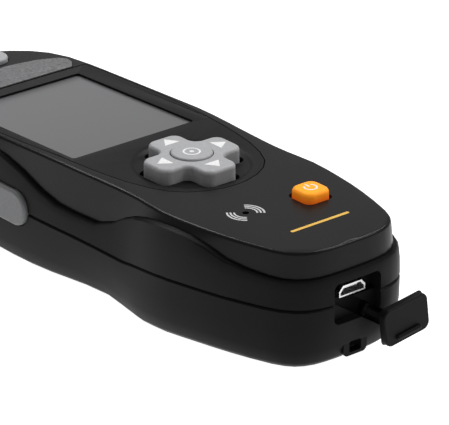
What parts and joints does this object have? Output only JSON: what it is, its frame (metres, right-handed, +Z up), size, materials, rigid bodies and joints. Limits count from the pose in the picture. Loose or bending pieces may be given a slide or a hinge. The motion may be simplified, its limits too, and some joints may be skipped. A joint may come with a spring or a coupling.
{
  "type": "hand-held colorimeter",
  "caption": "Slim black hand-held colorimeter with a sloping display, rubber keys, a side trigger key, a recessed data socket with a pull-out rubber cover and a sensor port under its head.",
  "frame": {"origin": "middle of the rest plane under the head foot line, on the centre plane of the body", "axes": "+X to the right-hand side, +Y from the tail to the head, +Z up out of the keys"},
  "size_m": [0.0521, 0.161, 0.0351],
  "materials": {
    "case_black": "fine matt moulded",
    "grip_black": "soft matt overmould",
    "case_black_lower": "fine matt moulded",
    "panel_black": "satin",
    "accent_grey": "speckled",
    "display_glass": "anti-glare",
    "foam_black": "foam",
    "display_metal": "satin",
    "key_pale_grey": "silicone",
    "silicone_grey": "silicone",
    "key_orange": "silicone",
    "key_mid_grey": "silicone",
    "board_green": "solder mask",
    "dome_steel": "satin",
    "brass_pillar": "turned",
    "socket_steel": "plated",
    "flap_rubber": "soft",
    "buzzer_black": "matt",
    "battery_wrap": "shrink film",
    "lead_red": "insulation",
    "screw_steel": "zinc",
    "optics_white": "diffuse white",
    "aperture_aluminium": "satin anodised",
    "optics_glass": "coated",
    "lamp_board": "white mask",
    "foot_rubber": "matt",
    "flex_amber": "film"
  },
  "bodies": {
    "housing": {"top_cover": "case_black", "grip_band": "grip_black", "bottom_shell": "case_black_lower", "bezel_panel": "panel_black", "accent_plate": "accent_grey", "display_window": "display_glass", "display_gasket": "foam_black", "display_module": "display_metal", "key_board": "board_green", "dome_switches": "dome_steel", "main_board": "board_green", "board_pillars": "brass_pillar", "usb_socket": "socket_steel", "strap_anchor": "flap_rubber", "buzzer": "buzzer_black", "battery_pack": "battery_wrap", "battery_lead": "lead_red", "battery_door": "case_black_lower", "door_screws": "screw_steel", "case_screws": "screw_steel", "optics_tube": "optics_white", "aperture_ring": "aperture_aluminium", "sensor_window": "optics_glass", "lamp_ring": "lamp_board", "sensor_board": "board_green", "focus_lens": "optics_glass", "measure_switch": "buzzer_black", "head_foot": "foot_rubber", "rest_pad": "foot_rubber", "display_flex": "flex_amber"},
    "nav_web": {"nav_web": "silicone_grey"},
    "nav_key": {"nav_key": "key_pale_grey"},
    "enter_key": {"enter_key": "key_pale_grey"},
    "power_key": {"power_key": "key_orange"},
    "measure_key": {"measure_key": "key_mid_grey"},
    "head_key": {"head_key": "key_pale_grey"},
    "flap_strap": {"flap_strap": "flap_rubber"},
    "usb_flap": {"usb_flap": "flap_rubber"}
  },
  "joints": [
    {"name": "nav_tilt_sideways_axis", "type": "hinge", "parent": "housing", "child": "nav_web", "pos_m": [0, -0.02, 0.0265], "axis": [1, 0, 0], "range_deg": [-2.5, 2.5], "stiffness_Nm_per_rad": 0.5},
    {"name": "nav_tilt_lengthways_axis", "type": "hinge", "parent": "nav_web", "child": "nav_key", "pos_m": [0, -0.02, 0.0265], "axis": [0, 1, 0], "range_deg": [-2.5, 2.5], "stiffness_Nm_per_rad": 0.5},
    {"name": "enter_press", "type": "slide", "parent": "nav_key", "child": "enter_key", "axis": [0, 0, -1], "range_m": [0, 0.0005], "stiffness_N_per_m": 1500, "springref_m": -0.0008},
    {"name": "power_press", "type": "slide", "parent": "housing", "child": "power_key", "axis": [0, 0, -1], "range_m": [0, 0.0006], "stiffness_N_per_m": 1500, "springref_m": -0.0008},
    {"name": "measure_press", "type": "slide", "parent": "housing", "child": "measure_key", "axis": [1, 0, 0], "range_m": [0, 0.0008], "stiffness_N_per_m": 1500, "springref_m": -0.0008},
    {"name": "head_press", "type": "slide", "parent": "housing", "child": "head_key", "axis": [0, 0, -1], "range_m": [0, 0.0005], "stiffness_N_per_m": 1500, "springref_m": -0.0008},
    {"name": "flap_swing", "type": "hinge", "parent": "housing", "child": "flap_strap", "pos_m": [0.0042, -0.07535, 0.0139], "axis": [0.5598, 0, 0.8287], "range_deg": [-143, 0]},
    {"name": "flap_turn", "type": "hinge", "parent": "flap_strap", "child": "usb_flap", "pos_m": [0.00903, -0.07975, 0.01064], "axis": [0.5043, 0.0219, 0.8632], "range_deg": [0, 143]}
  ],
  "couplings": [
    {"joint": "flap_turn", "follows": "flap_swing", "ratio": -1}
  ]
}
